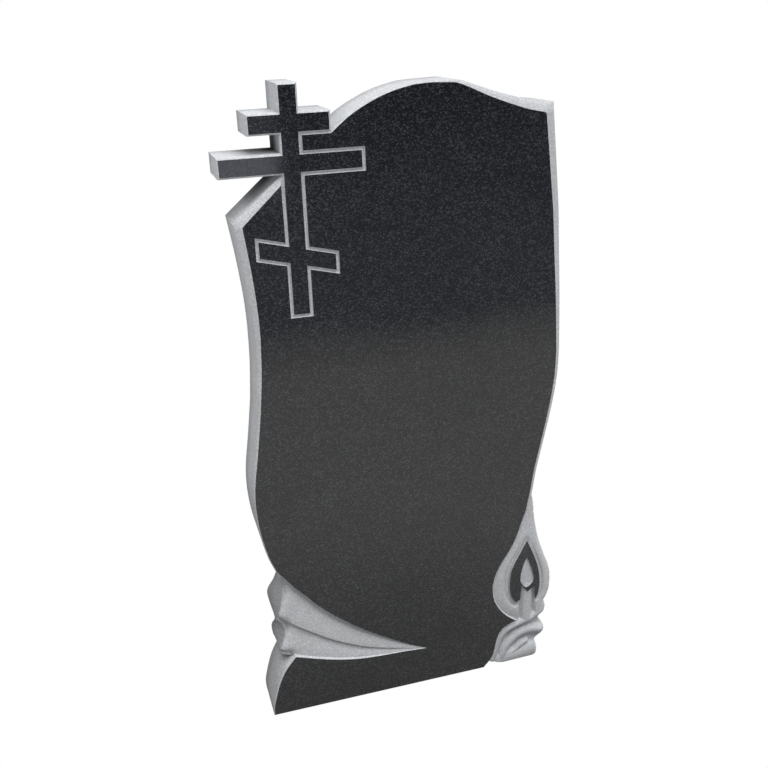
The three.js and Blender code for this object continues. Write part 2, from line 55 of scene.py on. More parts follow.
# The dressed edge round the polished face.
ARRIS = 3 * MM
SIDE_BEVEL = 7 * MM
HIP_BEVEL = 6 * MM
CREST_BEVEL = 6 * MM
CORNER_BEVEL = 16 * MM
WAIST_BEVEL = 7 * MM
SHOULDER_BEVEL = 11.5 * MM
SLOPE_BEVEL = 8 * MM
CARVING_ARRIS = 1.5 * MM
DRAPE_ARRIS = 2.5 * MM
BACK_ARRIS = 1.2 * MM
BEVEL_SLOPE = 0.45
BEVEL_ROUNDS = 3
ROUND_SHARE = 0.5
LEAST_MITRE = 0.45

# The cross.
BAR_WIDTH = 28 * MM
CROSS_HEIGHT = 316 * MM
UPPER_ARM = 114 * MM
MIDDLE_ARM = 200.5 * MM
LOWER_ARM = 112 * MM
UPPER_ARM_DROP = 51 * MM
MIDDLE_ARM_DROP = 104 * MM
LOWER_ARM_DROP = 230 * MM
LOWER_ARM_SLANT = math.radians(14)
CROSS_ARRIS = 2.5 * MM
GROOVE_WIDTH = 4.8 * MM
GROOVE_DEPTH = 2.5 * MM
GROOVE_POINTS = 7
GROOVE_FULLNESS = 0.8

# The drape at the lower left.
FOLD_DEPTH = 9.5 * MM
FOLD_CREST = 3 * MM
FOLD_ROLL = 1.6
FOLD_FADE_LENGTH = HALF_WIDTH / 2
FOLD_LEAST = 0.12
CREASE_GAP = 1.2 * MM
DRAPE_ROUNDING = 14 * MM
SIDE_TURN = 0.7

# The candle and its ribbon at the lower right.
CANDLE_DEPTH = 12 * MM
HALO_CREST = 1.5 * MM
HALO_FOOT = 4.5 * MM
HALO_FULLNESS = 0.7
HALO_LINE_SHARE = 0.74
HALO_LINE_HALF = 0.06
HALO_LINE_DEPTH = 2.2 * MM
HALO_LINE_FADE = 35 * MM
STICK_CREST = 1 * MM
STICK_FALL = 6.5 * MM
STICK_ROUNDING = 3
STICK_FLANK = 0.45
BAND_HALF = 10 * MM
INNER_BAND_HALF = 7 * MM
BASE_BAND_HALF = 18 * MM
UPPER_BAND_CREST = 1 * MM
LOWER_BAND_CREST = 2.5 * MM
INNER_BAND_CREST = 3.5 * MM
BASE_BAND_CREST = 3 * MM
FLAME_DEPTH = 2 * MM
CANDLE_EDGE_ROUNDING = 5 * MM
CANDLE_EDGE_TURN = 0.6

# How finely things are stepped.
CURVE_STEP = 4 * MM
CURVE_SAMPLES = 60
DRAPE_STEP = 2.5 * MM
FOLD_ROWS = 24
SIDE_STEPS = 60
CANDLE_STEP = 1.3 * MM
RIBBON_STEP = 2 * MM
FLAME_STEP = 1.5 * MM

# How far a cutter stands out of the stone, how deep a joined part is rooted in it, and which
# points count as one.
CLEARANCE = 1 * MM
INSIDE = 8 * MM
SAME_STATION = 0.4 * MM
TINY = 0.02 * MM
NO_LENGTH = 1e-12

# The three finishes, by their slots, and what tells their faces and sharp edges apart.
POLISHED, FROSTED, SAWN = range(3)
FACING = 0.999
SHARP = math.radians(35)


def at(u, v):
    """A point of the free outline, as shares of the half width and of the height."""
    return np.array((u * HALF_WIDTH, v * HEIGHT))


def spline(stations, count):
    """Points of a smooth curve through the stations."""
    p = np.array(stations)
    t = np.linspace(0, len(p) - 1, count + 1)
    i = np.minimum(t.astype(int), len(p) - 2)
    w = (t - i)[:, None]
    p0, p1 = p[np.maximum(i - 1, 0)], p[i]
    p2, p3 = p[i + 1], p[np.minimum(i + 2, len(p) - 1)]
    v0, v1 = (p2 - p0) / 2, (p3 - p1) / 2
    return (2 * p1 - 2 * p2 + v0 + v1) * w**3 + (-3 * p1 + 3 * p2 - 2 * v0 - v1) * w**2 + v0 * w + p1


def run(stations, start_edge=0.0, end_edge=0.0, step=CURVE_STEP):
    """Evenly spaced x, z and edge width along a smooth curve.

    No point but its ends lies nearer to an end than the edge is wide there.
    """
    fine = spline(stations, CURVE_SAMPLES * len(stations))
    along = np.concatenate(([0], np.cumsum(np.hypot(*np.diff(fine, axis=0).T))))
    length = along[-1]
    count = max(2, round(length / step))
    marks = np.linspace(0, length, count + 1)
    marks = marks[(marks > start_edge) & (length - marks > end_edge)]
    marks = np.unique(np.concatenate(([0], marks, [length])))
    x, z = (np.interp(marks, along, fine[:, k]) for k in (0, 1))
    return np.column_stack((x, z, start_edge + (end_edge - start_edge) * marks / length))


def corners(points, edge=0.0):
    """Straight lines from point to point, as x, z and edge width."""
    return np.array([(x, z, edge) for x, z in points])


def join_runs(*runs):
    """One closed outline, counter-clockwise as seen from the front, without repeated points."""
    outline = []
    for point in np.concatenate(runs):
        if not outline or math.dist(point[:2], outline[-1][:2]) > SAME_STATION:
            outline.append(point)
    if math.dist(outline[0][:2], outline[-1][:2]) < SAME_STATION:
        outline.pop()
    outline = np.array(outline)
    x, z = outline[:, 0], outline[:, 1]
    area = np.sum(x * np.roll(z, -1) - np.roll(x, -1) * z)
    return outline if area > 0 else outline[::-1]


def unit(v):
    """Each direction at length 1."""
    return v / np.maximum(np.hypot(v[:, 0], v[:, 1]), NO_LENGTH)[:, None]


def inset(outline, widths):
    """The outline moved inwards by a width at each point."""
    points = outline[:, :2]
    a = unit(points - np.roll(points, 1, axis=0))
    b = unit(np.roll(points, -1, axis=0) - points)
    inward = unit(np.column_stack((-a[:, 1] - b[:, 1], a[:, 0] + b[:, 0])))
    spread = np.maximum(LEAST_MITRE, np.sum(inward * np.column_stack((-a[:, 1], a[:, 0])), axis=1))
    return points + inward * (widths / spread)[:, None]


def moved_on(bm, cap):
    """The next cap of a solid, with walls behind it where the last cap was."""
    made = bmesh.ops.extrude_face_region(bm, geom=[cap, *cap.edges, *cap.verts])["geom"]
    return next(item for item in made if isinstance(item, bmesh.types.BMFace))


def loft(levels):
    """A closed solid through loops of equal length. Each level is its points and its depth y."""
    bm = bmesh.new()
    station = bm.verts.layers.int.new("station")
    points, y = levels[0]
    verts = []
    for number, (x, z) in enumerate(points):
        vert = bm.verts.new((x, y if np.isscalar(y) else y[number], z))
        vert[station] = number
        verts.append(vert)
    cap = bm.faces.new(verts)
    for points, y in levels[1:]:
        cap = moved_on(bm, cap)
        for vert in cap.verts:
            number = vert[station]
            vert.co = (points[number][0], y if np.isscalar(y) else y[number], points[number][1])
    bmesh.ops.recalc_face_normals(bm, faces=bm.faces)
    return finished(bm)


def finished(bm):
    """The bmesh as an object of the scene."""
    bmesh.ops.triangulate(bm, faces=[face for face in bm.faces if len(face.verts) > 4])
    mesh = bpy.data.meshes.new("carving")
    bm.to_mesh(mesh)
    bm.free()
    made = bpy.data.objects.new("carving", mesh)
    bpy.context.scene.collection.objects.link(made)
    return made


def dressed_slab(outline):
    """A slab of full thickness whose front edge is dressed as wide as the outline says."""
    edge = outline[:, 2]
    depth = np.minimum(edge, ARRIS) + np.maximum(0, edge - ARRIS) * BEVEL_SLOPE
    levels = [
        (inset(outline, np.full(len(edge), BACK_ARRIS)), BACK),
        (outline[:, :2], BACK - BACK_ARRIS),
    ]
    for turn in np.linspace(0, math.pi / 2, BEVEL_ROUNDS + 1):
        straight = (1 - ROUND_SHARE) * turn / (math.pi / 2)
        bulge = ROUND_SHARE * (1 - math.cos(turn)) + straight
        rise = ROUND_SHARE * math.sin(turn) + straight
        levels.append((inset(outline, edge * bulge), FRONT + depth * (1 - rise)))
    return loft(levels)


def prism(outline, near, far):
    """A solid with straight walls from one depth to another."""
    return loft([(outline[:, :2], far), (outline[:, :2], near)])


def carved_block(xs, heights, depths):
    """A block whose front is a carved grid. heights and depths have a row for each x."""
    columns, rows = heights.shape
    bm = bmesh.new()
    bmesh.ops.create_grid(bm, x_segments=columns - 1, y_segments=rows - 1, size=1)
    for vert in bm.verts:
        i = round((vert.co.x + 1) / 2 * (columns - 1))
        j = round((vert.co.y + 1) / 2 * (rows - 1))
        vert.co = (xs[i], FRONT + depths[i, j], heights[i, j])
    rim = [edge for edge in bm.edges if edge.is_boundary]
    made = bmesh.ops.extrude_edge_only(bm, edges=rim)["geom"]
    for item in made:
        if isinstance(item, bmesh.types.BMVert):
            item.co.y = BACK
    behind = [item for item in made if isinstance(item, bmesh.types.BMEdge)]
    bmesh.ops.holes_fill(bm, edges=behind, sides=0)
    bmesh.ops.recalc_face_normals(bm, faces=bm.faces)
    return finished(bm)


def combine(target, tool, operation):
    """Joins or cuts with another closed solid, which is used up."""
    modifier = target.modifiers.new("combine", "BOOLEAN")
    modifier.operation = operation
    modifier.object = tool
    modifier.solver = "MANIFOLD"
    with bpy.context.temp_override(object=target, active_object=target):
        bpy.ops.object.modifier_apply(modifier=modifier.name)
    bpy.data.objects.remove(tool)
    return target


def distance(chain, x, z):
    """The shortest distance from points to a chain."""
    best = np.full(np.shape(x), np.inf)
    for a, b in zip(chain[:-1], chain[1:]):
        dx, dz = b[0] - a[0], b[1] - a[1]
        t = np.clip(((x - a[0]) * dx + (z - a[1]) * dz) / (dx * dx + dz * dz), 0, 1)
        best = np.minimum(best, np.hypot(x - a[0] - t * dx, z - a[1] - t * dz))
    return best


def height_of(chain, x):
    """The height of a left-to-right chain at x, run on straight past its ends."""
    cx, cz = chain[:, 0], chain[:, 1]
    inner = np.interp(x, cx, cz)
    before = cz[0] + (x - cx[0]) * (cz[1] - cz[0]) / (cx[1] - cx[0])
    after = cz[-1] + (x - cx[-1]) * (cz[-1] - cz[-2]) / (cx[-1] - cx[-2])
    return np.where(x < cx[0], before, np.where(x > cx[-1], after, inner))


def quarter_round(away, radius):
    """How far a quarter round of that radius has dropped at a distance past its start."""
    return radius - np.sqrt(np.maximum(radius**2 - away**2, 0))


# The places of the cross, from its sizes.
cross_x = -HALF_WIDTH + MIDDLE_ARM / 2
cross_left = cross_x - BAR_WIDTH / 2
cross_right = cross_x + BAR_WIDTH / 2
upper_low = HEIGHT - UPPER_ARM_DROP - BAR_WIDTH / 2
upper_high = HEIGHT - UPPER_ARM_DROP + BAR_WIDTH / 2
middle_low = HEIGHT - MIDDLE_ARM_DROP - BAR_WIDTH / 2
middle_high = HEIGHT - MIDDLE_ARM_DROP + BAR_WIDTH / 2
wave_start = np.array((cross_x + UPPER_ARM / 2, upper_low))
slope_top = np.array((cross_left, middle_low))

# The outline of the polished part, run by run.
wave = run(
    [wave_start, at(-0.2765, 0.9552), at(-0.162, 0.971), at(-0.052, 0.982), at(0.064, 0.9891),
     at(0.13, 0.9908), at(0.19, 0.9914)],
    CARVING_ARRIS, CARVING_ARRIS,
)
wave_crest = run(
    [at(0.19, 0.9914), at(0.25, 0.9919), at(0.33, 0.992), at(0.411, 0.9865)],
    CARVING_ARRIS, CREST_BEVEL,
)
wave_end = run(
    [at(0.411, 0.9865), at(0.531, 0.9755), at(0.651, 0.9665), at(0.775, 0.9588), at(0.921, 0.954)],
    CREST_BEVEL, CORNER_BEVEL,
)
right_side = run(
    [at(0.921, 0.954), at(0.939, 0.9), at(0.957, 0.844), at(0.971, 0.797), at(0.981, 0.735),
     at(0.993, 0.665), at(1.0, 0.582)],
    CORNER_BEVEL, SIDE_BEVEL,
)
right_hip = run(
    [at(1.0, 0.582), at(0.996, 0.545), at(0.979, 0.508), at(0.951, 0.47), at(0.908, 0.42),
     at(0.868, 0.375), at(0.842, 0.335), at(0.828, 0.319)],
    SIDE_BEVEL, HIP_BEVEL,
)
halo_tip = run(
    [at(0.828, 0.319), at(0.804, 0.2996), at(0.766, 0.2793)],
    HIP_BEVEL, CARVING_ARRIS,
)
halo_left = run(
    [at(0.766, 0.2793), at(0.728, 0.2514), at(0.686, 0.2303), at(0.633, 0.2096),
     at(0.59, 0.1892), at(0.569, 0.1695), at(0.567, 0.1536), at(0.581, 0.1345),
     at(0.622, 0.1147), at(0.675, 0.0992), at(0.743, 0.0857)],
    CARVING_ARRIS, CARVING_ARRIS,
)
ribbon_left = run(
    [at(0.743, 0.0857), at(0.691, 0.0805), at(0.643, 0.0741), at(0.61, 0.0625),
     at(0.592, 0.0467), at(0.577, 0.0296), at(0.555, 0.016), at(0.5, 0)],
    CARVING_ARRIS, CARVING_ARRIS,
)
foot_edge = run(
    [at(-0.976, 0), at(-0.977, 0.015), at(-0.964, 0.031), at(-0.947, 0.047), at(-0.927, 0.063),
     at(-0.899, 0.079), at(-0.864, 0.093), at(-0.807, 0.1105)],
    CARVING_ARRIS, ARRIS,
)
drape_low = run(
    [at(-0.807, 0.1105), at(-0.651, 0.096), at(-0.507, 0.085), at(-0.367, 0.078), at(-0.208, 0.0745),
     at(-0.058, 0.0725), at(0.078, 0.0695)],
    DRAPE_ARRIS, CARVING_ARRIS / 2,
)
drape_high = run(
    [at(0.078, 0.0695), at(-0.028, 0.082), at(-0.208, 0.109), at(-0.353, 0.1335), at(-0.467, 0.156),
     at(-0.563, 0.177), at(-0.647, 0.1985), at(-0.712, 0.218), at(-0.777, 0.237),
     at(-0.828, 0.2545), at(-0.881, 0.273)],
    CARVING_ARRIS / 2, CARVING_ARRIS,
)
left_side = run(
    [at(-0.881, 0.273), at(-0.925, 0.304), at(-0.961, 0.349), at(-0.974, 0.392),
     at(-0.966, 0.43), at(-0.935, 0.48), at(-0.901, 0.54)],
    CARVING_ARRIS, ARRIS,
)
left_waist = run(
    [at(-0.901, 0.54), at(-0.883, 0.6), at(-0.878, 0.656)],
    ARRIS, WAIST_BEVEL,
)
left_shoulder = run(
    [at(-0.878, 0.656), at(-0.885, 0.7), at(-0.909, 0.76), at(-0.943, 0.821)],
    WAIST_BEVEL, SHOULDER_BEVEL,
)
shoulder_slope = run([at(-0.943, 0.821), slope_top], SHOULDER_BEVEL, SLOPE_BEVEL)
behind_cross = corners(
    [(cross_left + INSIDE, middle_low + INSIDE), (cross_left + INSIDE, upper_low + INSIDE),
     (wave_start[0] - INSIDE, upper_low + INSIDE)],
    CARVING_ARRIS,
)


def make_field():
    """The slab without the free part of the cross, the drape and the candle."""
    return dressed_slab(join_runs(
        wave, wave_crest, wave_end, right_side, right_hip, halo_tip, halo_left, ribbon_left,
        foot_edge, drape_low, drape_high, left_side, left_waist, left_shoulder,
        shoulder_slope, behind_cross,
    ))


def make_cross():
    """The free part of the cross, rooted in the slab."""
    root = middle_low - BAR_WIDTH
    upper, middle = UPPER_ARM / 2, MIDDLE_ARM / 2
    points = [
        (cross_left, root), (cross_right, root), (cross_right, middle_low),
        (cross_x + middle, middle_low), (cross_x + middle, middle_high),
        (cross_right, middle_high), (cross_right, upper_low), (cross_x + upper, upper_low),
        (cross_x + upper, upper_high), (cross_right, upper_high), (cross_right, HEIGHT),
        (cross_left, HEIGHT), (cross_left, upper_high), (cross_x - upper, upper_high),
        (cross_x - upper, upper_low), (cross_left, upper_low), (cross_left, middle_high),
        (cross_x - middle, middle_high), (cross_x - middle, middle_low), (cross_left, middle_low),
    ]
    return dressed_slab(join_runs(corners(points, CROSS_ARRIS)))


def slanted(offset, side):
    """A corner of the slanted lower arm."""
    level = HEIGHT - LOWER_ARM_DROP - offset * math.tan(LOWER_ARM_SLANT)
    return (cross_x + offset, level + side * BAR_WIDTH / 2)


def make_groove_cutter():
    """A rounded bar with mitred turns, along the groove that draws the rest of the cross."""
    bar, end, arm = BAR_WIDTH / 2, LOWER_ARM / 2, MIDDLE_ARM / 2
    bottom = HEIGHT - CROSS_HEIGHT
    path = np.array([
        wave_start, (cross_right, upper_low), (cross_right, middle_high),
        (cross_x + arm, middle_high), (cross_x + arm, middle_low), (cross_right, middle_low),
        slanted(bar, 1), slanted(end, 1), slanted(end, -1), slanted(bar, -1),
        (cross_right, bottom), (cross_left, bottom), slanted(-bar, -1), slanted(-end, -1),
        slanted(-end, 1), slanted(-bar, 1), slope_top,
    ])
    steps = unit(np.diff(path, axis=0))
    into = np.vstack((steps[:1], steps))
    out = np.vstack((steps, steps[-1:]))
    across = unit(np.column_stack((-into[:, 1] - out[:, 1], into[:, 0] + out[:, 0])))
    stretch = 1 / np.sum(across * np.column_stack((-into[:, 1], into[:, 0])), axis=1)
    turns = np.linspace(-math.pi / 2, math.pi / 2, GROOVE_POINTS)
    section = [(-1, -CLEARANCE)]
    section += [(math.sin(turn), GROOVE_DEPTH * math.cos(turn) ** GROOVE_FULLNESS) for turn in turns]
    section += [(1, -CLEARANCE)]
    bm = bmesh.new()
    place = bm.verts.layers.int.new("place")

    def put(vert, number):
        offset, depth = section[vert[place]]
        x, z = path[number] + across[number] * offset * GROOVE_WIDTH / 2 * stretch[number]
        vert.co = (x, FRONT + depth, z)

    verts = []
    for number in range(len(section)):
        vert = bm.verts.new()
        vert[place] = number
        put(vert, 0)
        verts.append(vert)
    cap = bm.faces.new(verts)
    for number in range(1, len(path)):
        cap = moved_on(bm, cap)
        for vert in cap.verts:
            put(vert, number)
    bmesh.ops.recalc_face_normals(bm, faces=bm.faces)
    return finished(bm)


# The drape.
crease = run(
    [at(-0.906, 0.19), at(-0.797, 0.168), at(-0.683, 0.147), at(-0.537, 0.122), at(-0.351, 0.0985),
     at(-0.148, 0.0825), at(0.078, 0.0695)],
)
drape_top = drape_high[::-1]
drape_tip = drape_top[-1]
folded_front = spline(
    [at(-0.86, 0.29), at(-0.838, 0.2549), at(-0.831, 0.2359), at(-0.86, 0.2132),
     at(-0.894, 0.1867), at(-0.853, 0.1727), at(-0.841, 0.1584), at(-0.869, 0.1406),
     at(-0.899, 0.1209), at(-0.83, 0.112)],
    SIDE_STEPS,
)
folded_back = spline(
    [at(-0.81, 0.245), at(-0.857, 0.2144), at(-0.908, 0.1928), at(-0.902, 0.1698),
     at(-0.877, 0.1366), at(-0.897, 0.1263), at(-0.903, 0.1175), at(-0.896, 0.1028),
     at(-0.877, 0.0778), at(-0.83, 0.065)],
    SIDE_STEPS,
)
drape_root = [at(-0.557, 0.062), at(0.092, 0.062), at(0.092, 0.075), at(-0.507, 0.26), at(-0.787, 0.3)]


def turned_away(x, z):
    """How far the front turns back where it rounds into the folded side."""
    beyond = x < np.interp(z, folded_front[::-1, 1], folded_front[::-1, 0])
    near = np.where(beyond, 0, distance(folded_front, x, z))
    return quarter_round(np.maximum(0, DRAPE_ROUNDING - near), DRAPE_ROUNDING) * SIDE_TURN


def fold_rows(x, low, high, fade):
    """One fold's heights and depths: deep under the edge above it, proud at its lower lip."""
    share = np.linspace(0, 1, FOLD_ROWS + 1)[None, :]
    z = low[:, None] + (high - low)[:, None] * share
    roll = FOLD_CREST + (FOLD_DEPTH - FOLD_CREST) * share**FOLD_ROLL
    return z, roll * fade[:, None] + turned_away(x[:, None] + 0 * z, z)


def make_drape():
    """The two folds on the front, run through to the back behind their folded side."""
    columns = round((drape_tip[0] + HALF_WIDTH) / DRAPE_STEP)
    x = np.linspace(-HALF_WIDTH, drape_tip[0], columns + 1)
    low = height_of(drape_low, x)
    high = np.maximum(height_of(drape_top, x), low + CREASE_GAP * 4)
    fold = np.clip(height_of(crease, x), low + CREASE_GAP * 2, high - CREASE_GAP)
    fade = np.clip((drape_tip[0] - x) / FOLD_FADE_LENGTH, FOLD_LEAST, 1)
    z_low, d_low = fold_rows(x, low, fold - CREASE_GAP, fade)
    z_high, d_high = fold_rows(x, fold, high, fade)
    heights = np.column_stack((z_low[:, 0] - INSIDE * 2, z_low, z_high, z_high[:, -1] + INSIDE * 2))
    depths = np.column_stack((d_low[:, 0], d_low, d_high, d_high[:, -1]))
    block = carved_block(x, heights, depths)
    front, back = (np.vstack((side, drape_root)) for side in (folded_front, folded_back))
    return combine(block, loft([(front, FRONT), (back, BACK)]), "INTERSECT")


# The candle.
candle_right = run(
    [at(0.8, 0.352), at(0.842, 0.322), at(0.865, 0.2762), at(0.896, 0.2395), at(0.937, 0.208),
     at(0.97, 0.1864), at(0.989, 0.1653), at(0.989, 0.1409), at(0.972, 0.1235),
     at(0.948, 0.1135)],
)
band_end = run(
    [at(0.948, 0.1135), at(0.956, 0.1012), at(0.95, 0.0866), at(0.925, 0.0719)],
    step=RIBBON_STEP,
)
ribbon_bulb = run(
    [at(0.925, 0.0719), at(0.955, 0.0603), at(0.968, 0.0495), at(0.959, 0.0393),
     at(0.924, 0.0329), at(0.896, 0.0282)],
    step=RIBBON_STEP,
)
candle_base = corners(
    [at(0.896, 0.0282), at(0.901, 0.0135), at(0.896, 0.004), at(0.878, 0), at(0.65, 0),
     at(0.6, 0.003), at(0.55, 0.009)],
)
drop_left = run(
    [at(0.804, 0.2425), at(0.767, 0.2249), at(0.727, 0.2064), at(0.696, 0.1883),
     at(0.686, 0.1689), at(0.688, 0.1486), at(0.706, 0.1333), at(0.733, 0.1225)],
    step=RIBBON_STEP,
)
drop_right = run(
    [at(0.88, 0.1232), at(0.897, 0.1345), at(0.905, 0.1545), at(0.895, 0.1793),
     at(0.869, 0.2027), at(0.835, 0.2243), at(0.804, 0.2425)],
    step=RIBBON_STEP,
)
stick_top = corners(
    [at(0.764, 0.127), at(0.771, 0.155), at(0.817, 0.1397), at(0.866, 0.1496), at(0.871, 0.1257)],
)
flame = run(
    [at(0.807, 0.21), at(0.779, 0.1927), at(0.762, 0.1706), at(0.773, 0.1589), at(0.805, 0.1504),
     at(0.842, 0.155), at(0.86, 0.1661), at(0.841, 0.1873), at(0.807, 0.21)],
    step=FLAME_STEP,
)
candle_root = corners([at(0.521, 0.014), at(0.491, 0.16), at(0.74, 0.345)])

# The bands of the ribbon: the middle line, the half width and the depth of the crest.
upper_band = (
    run([at(0.563, 0.0109), at(0.588, 0.0306), at(0.614, 0.0503), at(0.658, 0.0654),
         at(0.717, 0.0723), at(0.785, 0.0776), at(0.86, 0.0836), at(0.934, 0.0958)]),
    BAND_HALF, UPPER_BAND_CREST,
)
lower_band = (
    run([at(0.64, 0.0116), at(0.669, 0.029), at(0.714, 0.0422), at(0.773, 0.0523),
         at(0.849, 0.0561), at(0.926, 0.0524)]),
    BAND_HALF, LOWER_BAND_CREST,
)
inner_band = (
    run([at(0.664, 0.0114), at(0.732, 0.0178), at(0.781, 0.0276), at(0.822, 0.0336)]),
    INNER_BAND_HALF, INNER_BAND_CREST,
)
base_band = (
    run([at(0.62, 0.004), at(0.72, 0.008), at(0.88, 0.012)]),
    BASE_BAND_HALF, BASE_BAND_CREST,
)
ribbon_bands = [upper_band, lower_band, inner_band, base_band]


def halo_depth(x, z):
    """A ridge between the halo's two rims, with a fine carved line beside the drop."""
    inner_edge = np.vstack((halo_tip[:-1], halo_left))
    outside = np.minimum(distance(inner_edge, x, z), distance(candle_right, x, z))
    inside = np.minimum(distance(drop_left, x, z), distance(drop_right, x, z))
    share = outside / (outside + inside)
    ridge = np.sin(np.pi * share) ** HALO_FULLNESS
    line = HALO_LINE_DEPTH * np.exp(-(((share - HALO_LINE_SHARE) / HALO_LINE_HALF) ** 2))
    rise = np.clip((z - drop_left[0][1]) / (candle_right[0][1] - drop_left[0][1]), 0, 1)
    foot = HALO_FOOT + (HALO_CREST + CLEARANCE - HALO_FOOT) * rise
    below_tip = np.clip((drop_left[0][1] - z) / HALO_LINE_FADE, 0, 1)
    return foot + (HALO_CREST - foot) * ridge + line * below_tip


def band_depth(band, x, z):
    """A round band of the ribbon."""
    path, half, crest = band
    share = np.minimum(distance(path, x, z) / half, 1)
    return crest + (CANDLE_DEPTH - crest) * (1 - np.sqrt(1 - share**2))


def candle_depth(x, z):
    """The ribbon below, and the stick in front of the halo above it."""
    ribbon = np.min([band_depth(band, x, z) for band in ribbon_bands], axis=0)
    stick_x = (stick_top[1][0] + stick_top[3][0]) / 2
    stick_half = (stick_top[3][0] - stick_top[1][0]) / 2
    across = np.abs(x - stick_x) / stick_half
    round_stick = STICK_CREST + STICK_FALL * across**STICK_ROUNDING
    flank = STICK_CREST + STICK_FALL * np.clip(1 + STICK_FLANK - across, 0, STICK_FLANK) / STICK_FLANK
    beside = np.maximum(halo_depth(x, z), np.where(z < stick_top[1][1], flank, 0))
    stick = np.where((across < 1) & (z < stick_top[1][1]), round_stick, beside)
    halo = np.where(z > height_of(upper_band[0], x), stick, CANDLE_DEPTH)
    edge = distance(np.vstack((candle_right[:-1], band_end[:-1], ribbon_bulb)), x, z)
    away = np.maximum(0, CANDLE_EDGE_ROUNDING - edge)
    return np.minimum(halo, ribbon) + quarter_round(away, CANDLE_EDGE_ROUNDING) * CANDLE_EDGE_TURN


def make_candle():
    """The halo, stick and ribbon, with a flame that stands proud of the sunk polished drop."""
    top = candle_right[0][1]
    left, right = candle_root[1][0], HALF_WIDTH + INSIDE
    x = np.linspace(left, right, round((right - left) / CANDLE_STEP) + 1)
    z = np.linspace(0, top, round(top / CANDLE_STEP) + 1)
    xs, zs = np.meshgrid(x, z, indexing="ij")
    block = carved_block(x, zs, candle_depth(xs, zs))
    outline = join_runs(candle_right, band_end, ribbon_bulb, candle_base, candle_root)
    candle = combine(block, prism(outline, FRONT - CLEARANCE, BACK + CLEARANCE), "INTERSECT")
    drop = prism(join_runs(drop_left, stick_top, drop_right), FRONT, 0)
    flame_cut = prism(join_runs(flame), FRONT - CLEARANCE, FRONT + FLAME_DEPTH)
    return combine(candle, combine(drop, flame_cut, "DIFFERENCE"), "UNION")


def make_stone():
    """The whole headstone as one closed mesh, its faces sorted into polished, frosted and sawn."""
    stone = make_field()
    combine(stone, make_cross(), "UNION")
    combine(stone, make_drape(), "UNION")
    combine(stone, make_candle(), "UNION")
    combine(stone, make_groove_cutter(), "DIFFERENCE")
    bm = bmesh.new()
    bm.from_mesh(stone.data)
    bmesh.ops.remove_doubles(bm, verts=bm.verts, dist=TINY)
    for face in bm.faces:
        at_front = all(abs(vert.co.y - FRONT) < TINY for vert in face.verts)
        face.smooth = True
        face.material_index = FROSTED
        if at_front and face.normal.y < -FACING:
            face.material_index = POLISHED
        elif face.normal.y > FACING:
            face.material_index = SAWN
    for edge in bm.edges:
        kinds = {face.material_index for face in edge.link_faces}
        edge.smooth = len(kinds) == 1 and edge.calc_face_angle(0) < SHARP
    stone.data.materials.clear()
    bm.to_mesh(stone.data)
    bm.free()
    return stone


# The finishes of the stone. Colours are linear, scales are per metre. The grains are bent a little,
# stretched into laths and turned out of the plane of the face.
POLISHED_DARK = (0.0095, 0.0098, 0.0105)
POLISHED_LIGHT = (0.058, 0.06, 0.064)
FROSTED_DARK = (0.435, 0.446, 0.46)
FROSTED_LIGHT = (0.59, 0.604, 0.62)
SAWN_DARK = (0.1, 0.102, 0.106)
SAWN_LIGHT = (0.2, 0.203, 0.21)
FINE_GRAIN = 520
COARSE_GRAIN = 330
GRAIN_BEND = 0.0012
GRAIN_SOFTNESS = 0.3
GRAIN_LEAST = 0.25
LATH_TURN = (0.5, 0.8, 0.3)
LATH_STRETCH = (1.0, 0.6, 1.35)
CLOUDS = 14
STONE_IOR = 1.5
SAW_ARC_RADIUS = 1.3
SAW_MARKS = 18
SAW_MARK_DEPTH = 0.8 * MM

# Painted shade in the rear of two notches under the arms, and how much painted shade darkens towards
# the back.
PAINTED_SHADE_DARKEST = 0.1
PAINTED_SHADE_FROM = -16 * MM
PAINTED_SHADE_FULL = 14 * MM
NOTCH = (cross_left, (middle_high + upper_low) / 2)
NOTCH_SHADE_CORE = 10 * MM
NOTCH_SHADE_REACH = 26 * MM
SLOPE_SHADE_CORE = 14 * MM
SLOPE_SHADE_REACH = 75 * MM
BACKWARD_PAINTED_SHADE = 0.72


def link(tree, *pairs):
    for start, end in pairs:
        tree.links.new(start, end)


def node(tree, kind, **settings):
    """A node with its properties and the values of its inputs."""
    made = tree.nodes.new(kind)
    values = settings.pop("values", {})
    for name, value in settings.items():
        setattr(made, name, value)
    for name, value in values.items():
        made.inputs[name].default_value = value
    return made


def new_group(name, inputs, outputs):
    """An empty node group with its sockets, and its input and output nodes."""
    tree = bpy.data.node_groups.new(name, "ShaderNodeTree")
    for label, kind in inputs:
        tree.interface.new_socket(label, in_out="INPUT", socket_type=kind)
    for label, kind in outputs:
        tree.interface.new_socket(label, in_out="OUTPUT", socket_type=kind)
    return tree, tree.nodes.new("NodeGroupInput"), tree.nodes.new("NodeGroupOutput")


